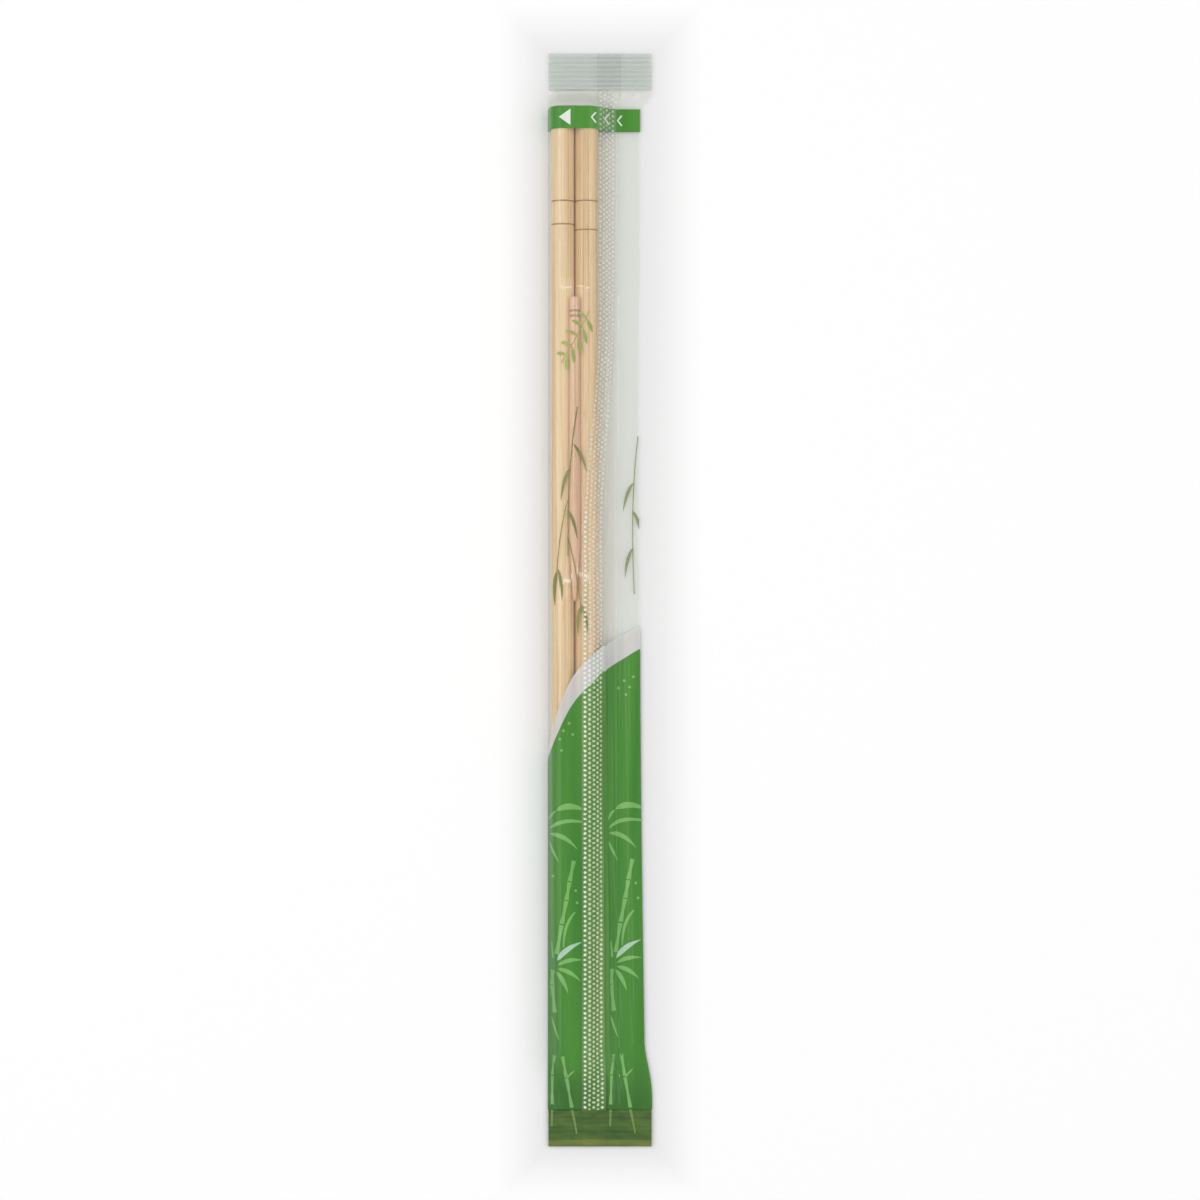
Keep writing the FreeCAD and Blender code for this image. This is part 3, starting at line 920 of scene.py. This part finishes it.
def ornament(o, grow):
    """The fields of one ornament at x = o."""
    return (
        # a spray of leaves from the left
        leaf((o + 0.3, 152.6), (o + 1.0, 150.6), (o + 1.9, 150.4), 0.55)
        + leaf((o + 1.9, 150.3), (o + 4.6, 148.4), (o + 8.2 * grow, 150.4), 1.35)
        + leaf((o + 0.4, 154.4), (o + 3.0, 151.3), (o + 9.6 * grow, 153.2), 0.85)
        + leaf((o + 0.5, 155.4), (o + 3.6, 155.2), (o + 6.4, 158.6), 1.0)
        + leaf((o + 0.4, 157.0), (o + 1.2, 159.4), (o + 2.5, 161.4), 0.55)
        # the main stalk and its branches
        + stalk([(o + 5.6, 161.0), (o + 4.7, 165.6), (o + 4.0, 169.6), (o + 3.0, 174.8),
                 (o + 1.9, 181.4)], 0.85)
        + stroke(curve((o + 5.9, 172.0), (o + 3.4, 174.5), (o + 3.4, 179.6)),
                 [0.3, 0.5, 0.6, 0.6, 0.6, 0.5, 0.4, 0.3])
        + stroke([(o + 0.9, 178.6), (o + 1.2, 182.0)], [0.25, 0.5])
        # leaves round its foot
        + leaf((o + 2.2, 183.4), (o + 4.6, 181.8), (o + 7.6, 182.3), 0.9)
        + leaf((o + 2.2, 184.2), (o + 4.8, 184.4), (o + 7.0, 186.8), 0.95)
        + leaf((o + 1.9, 184.8), (o + 3.4, 186.4), (o + 4.4, 189.4), 0.95)
        + stalk([(o + 1.1, 184.6), (o + 1.0, 188.0), (o + 1.6, 194.0)], 0.85)
        + leaf((o + 0.9, 194.6), (o + 1.6, 197.6), (o + 2.6, 199.6), 0.5)
        # slim stalks down to the seal
        + stalk([(o + 1.5, 203.0), (o + 1.0, 207.6), (o + 0.9, 214.2)], 0.6)
        + stalk([(o + 3.2, 203.0), (o + 4.0, 208.0), (o + 5.2, 214.9)], 0.7)
        + leaf((o + 4.0, 208.2), (o + 5.0, 206.6), (o + 5.8, 206.2), 0.4)
    )


LEAVES, PALE_LEAVES, SEAL_STALKS = [], [], []
for o, grow in ORNAMENTS:
    LEAVES += ornament(o, grow)
    PALE_LEAVES += leaf((o + 2.1, 182.4), (o + 3.6, 179.8), (o + 7.4, 178.4), 1.15)
    SEAL_STALKS += stroke([(o + 0.9, 214.4), (o + 0.8, 218.6)], [0.55, 0.4])
    SEAL_STALKS += stroke([(o + 5.1, 214.6), (o + 5.8, 218.0), (o + 6.2, 220.2)],
                          [0.65, 0.45, 0.3])
printed("ink_leaves", LEAVES, MOTIF_LIFT, M_LEAF)
printed("ink_leaves_pale", PALE_LEAVES, MOTIF_LIFT, M_PALE_LEAF)
printed_on_seal("ink_seal_stalks", SEAL_STALKS, M_SEAL_LEAF)

SPECKS = [
    (2.6, 135.0), (3.4, 133.2), (4.6, 131.6), (3.0, 137.4), (5.4, 134.0), (8.8, 127.6),
    (16.4, 122.6), (17.6, 124.0), (16.8, 125.6), (15.2, 124.2), (18.4, 121.8),
    (6.0, 167.4), (6.3, 170.0), (1.2, 164.4), (18.9, 166.2), (19.4, 169.4),
]
SPECK_R = 0.32
printed("ink_specks", dots(SPECKS, SPECK_R), MOTIF_LIFT, M_LEAF)

# Two hanging twigs with leaves, and a spray of small leaves over the toothpick
TWIGS = (
    bent((6.4, 64.0), (4.0, 78.0), (4.4, 96.0), 0.26, steps=10)
    + bent((4.3, 84.0), (2.6, 90.0), (2.0, 99.0), 0.2)
    + bent((4.4, 92.0), (6.4, 99.0), (7.2, 108.0), 0.22)
    + leaf((2.0, 99.0), (1.2, 102.0), (1.6, 106.5), 0.75)
    + leaf((2.2, 98.6), (3.2, 101.6), (3.1, 105.4), 0.7)
    + leaf((7.1, 106.5), (6.2, 109.2), (6.6, 113.0), 0.75)
    + leaf((7.2, 106.2), (8.4, 108.6), (8.6, 112.2), 0.7)
    + leaf((5.6, 72.0), (7.4, 74.0), (8.4, 78.0), 0.7)
    + leaf((4.9, 77.0), (3.2, 79.6), (2.9, 84.0), 0.7)
    + leaf((4.3, 86.0), (5.8, 88.2), (6.4, 92.4), 0.7)
    + bent((19.4, 70.0), (17.6, 84.0), (18.6, 104.0), 0.24, steps=10)
    + leaf((18.4, 80.0), (16.8, 82.0), (16.2, 86.2), 0.7)
    + leaf((18.2, 86.0), (19.8, 88.4), (20.4, 92.6), 0.7)
    + leaf((18.3, 94.0), (16.8, 96.4), (16.6, 100.6), 0.7)
)
printed("ink_twigs", TWIGS, MOTIF_LIFT, M_TWIG)

SPRAY = bent((8.9, 43.4), (6.8, 48.6), (2.9, 54.6), 0.16)
for at, out_left, out_right in (
    ((8.3, 45.0), (6.4, 44.0), (9.6, 48.0)),
    ((7.5, 47.0), (5.2, 45.6), (8.4, 50.6)),
    ((6.5, 49.0), (4.0, 47.8), (7.1, 52.8)),
    ((5.3, 51.0), (2.8, 50.2), (5.7, 54.8)),
    ((4.1, 52.9), (1.9, 52.6), (4.2, 56.4)),
):
    for tip in (out_left, out_right):
        bend = (blend(at[0], tip[0], 0.5), blend(at[1], tip[1], 0.5) - 0.4)
        SPRAY += leaf(at, bend, tip, 0.78, full=0.6)
printed("ink_spray", SPRAY, MOTIF_LIFT, M_SPRAY)

# The same print on the lower layer, its sweep on round the back
UNDER_SWEEP_WIDTH = 4.4
UNDER_SWEEP = smooth_line([(-0.1, 138.0), (4.0, 128.4), (9.0, 120.6), (14.0, 115.6), (21.0, 110.8)])
UNDER_FIELD = [(x, s + UNDER_SWEEP_WIDTH) for x, s in UNDER_SWEEP]
UNDER_BOTTOM = [(x, FIELD_END) for x, _ in UNDER_SWEEP]
printed_under("ink_under_field", strip(UNDER_FIELD, UNDER_BOTTOM), M_GREEN, UNDER_Z)
printed_under("ink_under_sweep", strip(UNDER_SWEEP, UNDER_FIELD), M_SWEEP, UNDER_Z)
printed_under("ink_under_tab", TAB, M_TAB, UNDER_Z)
printed_under("ink_under_leaves", LEAVES, M_LEAF, UNDER_MOTIF_Z)

# Fin seal, knurled: v counts from its foot
FIN_MATERIALS = [M_FIN, M_DOT, M_FIN_GREEN, M_FIN_DOT, M_SWEEP, M_FIN_GLINT,
                 M_SEAL, M_OLIVE, M_EDGE]
(FIN_CLEAR, FIN_DOT, FIN_GREEN, FIN_GREEN_DOT, FIN_SWEEP, FIN_GLINT,
 FIN_SEALED, FIN_SEALED_GREEN, FIN_CUT_EDGE) = range(len(FIN_MATERIALS))
FIN_COLUMNS, FIN_STEP = 32, 0.2
FIN_ROOT_SUNK, FIN_ROOT_RISE = 0.03, 0.2
FIN_WAVE, FIN_WAVE_FADE = 0.05, 0.4
FIN_CURL, FIN_CURL_FROM, FIN_CURL_FADE, FIN_CURL_END_FADE = 0.22, 3.8, 1.5, 6
FIN_Z_AT_SEAL, FIN_Z_ON_SEAL = 0.45, 0.30
KNURL_ALONG, KNURL_ACROSS, KNURL_MARGIN = 1.04, 0.92, 0.35
KNURL_R, KNURL_HEIGHT, KNURL_EDGE, KNURL_SHOWS = 0.40, 0.10, 0.2, 0.30
# From this s down, the first column of raised dots in the clear film carries painted glints
GLINT_COLUMN_FROM = 86


def line_at(line, x):
    """s on a line of (x, s) points."""
    for (xa, sa), (xb, sb) in zip(line, line[1:]):
        if x <= xb:
            return blend(sa, sb, clamp((x - xa) / (xb - xa)))
    return line[-1][1]


def knurl(v, y):
    """(height from 0 to 1, column) of the staggered dots pressed into the fin seal."""
    column = math.floor((v - KNURL_MARGIN) / KNURL_ACROSS)
    if column < 0 or v > FIN_WIDTH - KNURL_EDGE:
        return 0.0, column
    near_v = v - KNURL_MARGIN - (column + 0.5) * KNURL_ACROSS
    row = y / KNURL_ALONG + 0.5 * (column % 2)
    near_y = (row - round(row)) * KNURL_ALONG
    return clamp(1 - math.hypot(near_v, near_y) / KNURL_R), column


def fin_point(v, y):
    """A place on the fin seal, in millimetres."""
    x0 = fin_from_fold(min(max(y, Y_LOW), Y_UP))
    beyond = max(y - Y_UP, Y_LOW - y)
    if beyond > 0:
        z = blend(FIN_Z_AT_SEAL, FIN_Z_ON_SEAL, clamp(beyond))
        return X_LEFT + x0 + v, y, z + RIB_HEIGHT * rib(beyond) * clamp(beyond * 2)
    p = path(y)
    root = p.place_at(x0)
    x, z, heading = p.at(root + v)
    lift = blend(-FIN_ROOT_SUNK, FIN_GAP + 2 * FILM, eased(v / FIN_ROOT_RISE))
    lift += swell(root + v, y) + KNURL_HEIGHT * eased(knurl(v, y)[0] * 1.4)
    lift += (FIN_WAVE + FIN_WAVE * math.sin(y * 0.31 + v)) * eased(v / FIN_WAVE_FADE)
    curl = FIN_CURL * eased((v - FIN_CURL_FROM) / FIN_CURL_FADE)
    curl *= 0.5 + 0.5 * math.sin(y * 0.07 + 0.8)
    lift += curl * eased((Y_UP - y) / FIN_CURL_END_FADE) * eased((y - Y_LOW) / FIN_CURL_END_FADE)
    return X_LEFT + x - lift * math.sin(heading), y, z + lift * math.cos(heading)


def fin_material(v, y):
    if y > Y_UP:
        return FIN_SEALED
    if y < Y_LOW:
        return FIN_CUT_EDGE if Y_LOW - y > CUT_EDGE_FROM else FIN_SEALED_GREEN
    height, column = knurl(v, y)
    raised = height > KNURL_SHOWS
    x, s = fin_from_fold(y) + v, Y_HEAD - y
    if s > line_at(SWEEP_INNER, x):
        # In the green, the first column of raised dots carries painted glints
        if raised:
            return FIN_GLINT if column == 0 else FIN_GREEN_DOT
        return FIN_GREEN
    on_sweep = s > line_at(SWEEP_OUTER, x)
    if raised:
        # Raised dots over the sweep, and the first column low down, carry painted glints
        glint = on_sweep or (column == 0 and s > GLINT_COLUMN_FROM)
        return FIN_GLINT if glint else FIN_DOT
    return FIN_SWEEP if on_sweep else FIN_CLEAR


def fin_seal():
    """A strip out of the film and over to the right, from the end of one seal to the other."""
    top, low = Y_UP + SEAL - SEAL_INSET, Y_LOW - SEAL + SEAL_INSET
    ys = rows_between(top, Y_UP, RIB_STEP) + rows_between(Y_UP, Y_LOW, FIN_STEP)
    ys += rows_between(Y_LOW, low, RIB_STEP) + [low]
    columns = FIN_COLUMNS + 1
    vertices = [Vector(fin_point(FIN_WIDTH * i / FIN_COLUMNS, y)) * MM
                for y in ys for i in range(columns)]
    faces, slots = [], []
    for j in range(len(ys) - 1):
        y = (ys[j] + ys[j + 1]) / 2
        for i in range(FIN_COLUMNS):
            a = j * columns + i
            faces.append((a, a + columns, a + columns + 1, a + 1))
            slots.append(fin_material(FIN_WIDTH * (i + 0.5) / FIN_COLUMNS, y))
    return add_mesh("fin_seal", vertices, faces, FIN_MATERIALS, slots)


fin = fin_seal()

# Floor, light and camera, in metres
FLOOR_HALF, FLOOR_Z, FLOOR_GREY = 8.0, -0.0004, 0.9
# The floor shines a little by itself, to look white. By the object, whose half sizes these are, it
# doesn't, so that the gap between the sticks stays dark: (from, to, strength), out from its edges.
OBJECT_HALVES = (("X", 0.0115), ("Y", 0.118))
WHITER_NEAR = (-0.003, 0.012, 0.18)
WHITER_FAR = (0.15, 1.2, 0.6)
SKY_LIGHT, SKY_SEEN = 0.47, 1.0
# (name, place, width, length, watts), each facing the object with its length along Y
LAMPS = (
    ("soft_left", (-0.7, 0.15, 0.9), 1.1, 1.9, 5.4),
    ("soft_right", (0.8, -0.1, 0.8), 0.9, 1.8, 3.4),
    ("strip_left", (-0.30, 0.0, 0.62), 0.03, 0.9, 0.34),
    ("strip_right", (0.27, 0.05, 0.55), 0.03, 0.9, 0.26),
)
LENS, SENSOR = 85, 36
SHARE_OF_FRAME, FRAMED_Z = 0.915, 0.003


def seen_rays(tree):
    """1 for what the camera sees, straight, in gloss or through glass, and 0 for light."""
    rays = node(tree, "ShaderNodeLightPath").outputs
    straight = calc(tree, "MAXIMUM", rays["Is Camera Ray"], rays["Is Transmission Ray"])
    return calc(tree, "MAXIMUM", straight, rays["Is Glossy Ray"])


def add_floor():
    mesh = bpy.data.meshes.new("floor")
    corners = [(x * FLOOR_HALF, y * FLOOR_HALF, 0) for x, y in ((-1, -1), (1, -1), (1, 1), (-1, 1))]
    mesh.from_pydata(corners, [], [(0, 1, 2, 3)])
    obj = bpy.data.objects.new("floor", mesh)
    bpy.context.scene.collection.objects.link(obj)
    obj.location.z = FLOOR_Z
    mat, tree, surface = material("floor_pale")
    axes = own_axes(tree)
    past = [calc(tree, "SUBTRACT", calc(tree, "ABSOLUTE", axes[axis]), half)
            for axis, half in OBJECT_HALVES]
    away = calc(tree, "MAXIMUM", *past)
    near, far = (smooth_range(tree, away, *zone) for zone in (WHITER_NEAR, WHITER_FAR))
    strength = calc(tree, "MULTIPLY", seen_rays(tree), calc(tree, "ADD", near, far))
    grey = node(tree, "ShaderNodeBsdfPrincipled", Roughness=0.9,
                Base_Color=(FLOOR_GREY, FLOOR_GREY, FLOOR_GREY, 1))
    whiter = node(tree, "ShaderNodeEmission", Color=WHITE, Strength=strength)
    both = node(tree, "ShaderNodeAddShader")
    for socket, shader in zip(both.inputs, (grey, whiter)):
        feed(tree, socket, shader.outputs[0])
    feed(tree, surface, both.outputs[0])
    mesh.materials.append(mat)


def light_world():
    world = bpy.context.scene.world or bpy.data.worlds.new("world")
    bpy.context.scene.world = world
    world.use_nodes = True
    tree = world.node_tree
    tree.nodes.clear()
    lit, seen = (node(tree, "ShaderNodeBackground", Color=WHITE, Strength=strength)
                 for strength in (SKY_LIGHT, SKY_SEEN))
    choice = mixed_shader(tree, seen_rays(tree), lit, seen)
    node(tree, "ShaderNodeOutputWorld", Surface=choice.outputs[0])


def add_lamp(name, place, width, length, power):
    light = bpy.data.lights.new(name, "AREA")
    light.shape = "RECTANGLE"
    light.size, light.size_y, light.energy = width, length, power
    obj = bpy.data.objects.new(name, light)
    bpy.context.scene.collection.objects.link(obj)
    obj.location = place
    obj.rotation_euler = (-Vector(place)).to_track_quat("-Z", "X").to_euler()


def add_camera():
    """The camera looks straight down, with the sleeve as tall in the frame as its share says."""
    data = bpy.data.cameras.new("camera")
    data.lens, data.sensor_width, data.clip_start = LENS, SENSOR, 0.01
    camera = bpy.data.objects.new("camera", data)
    bpy.context.scene.collection.objects.link(camera)
    bpy.context.scene.camera = camera
    frame_height = SLEEVE_LENGTH * MM / SHARE_OF_FRAME
    camera.location = (0, 0, frame_height * LENS / SENSOR + FRAMED_Z)


add_floor()
light_world()
for lamp in LAMPS:
    add_lamp(*lamp)
add_camera()

bpy.context.scene.view_settings.view_transform = "Standard"
